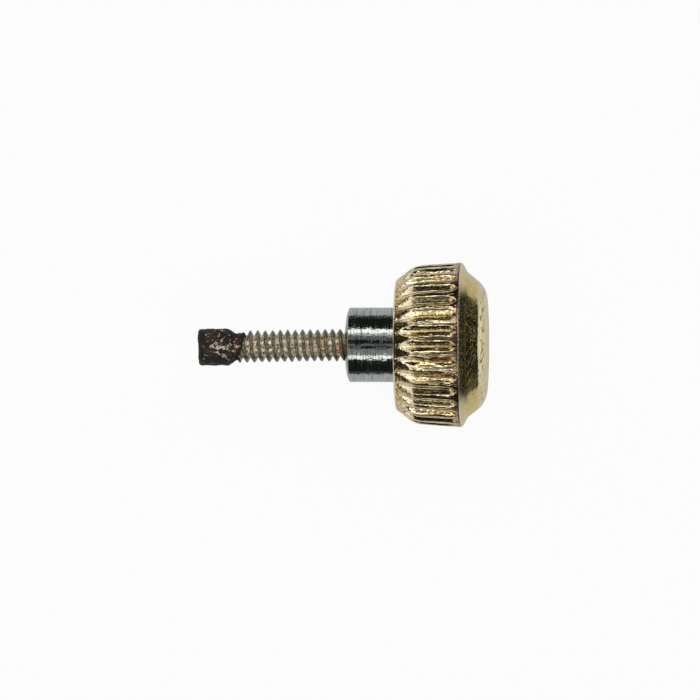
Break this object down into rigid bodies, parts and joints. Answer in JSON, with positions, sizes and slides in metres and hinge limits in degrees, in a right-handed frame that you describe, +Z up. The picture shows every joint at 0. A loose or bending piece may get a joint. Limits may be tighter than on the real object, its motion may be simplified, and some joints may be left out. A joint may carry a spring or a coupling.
{
  "type": "watch crown",
  "caption": "Screw-down watch crown: fluted gold cap on a steel bush, sprung drive post and a broken threaded stem.",
  "frame": {"origin": "on the crown's axis, in the plane of the rear rim, which is inside the span of the post's polished wall", "axes": "+X along the crown's axis towards the dome, +Z up"},
  "size_m": [0.0097, 0.0054, 0.0054],
  "materials": {
    "gold": "worn yellow gold, polished with scratched edges",
    "bush_steel": "turned steel",
    "gasket_rubber": "black nitrile rubber",
    "spring_steel": "drawn spring wire",
    "polished_steel": "polished steel with fine scratches and pits",
    "worn_steel": "tarnished steel, rusted dark brown at its broken end"
  },
  "bodies": {
    "stem_unit": {"post": "polished_steel", "stem": "worn_steel"},
    "crown_head": {"crown_cap": "gold", "core_bush": "bush_steel", "seat_gasket": "gasket_rubber", "retaining_washer": "bush_steel", "backing_disc": "bush_steel", "return_spring": "spring_steel"}
  },
  "joints": [
    {"name": "crown_press", "type": "slide", "parent": "stem_unit", "child": "crown_head", "axis": [1, 0, 0], "range_m": [-0.00075, 0], "stiffness_N_per_m": 560, "springref_m": 0.0006, "deforming": ["return_spring"]}
  ]
}
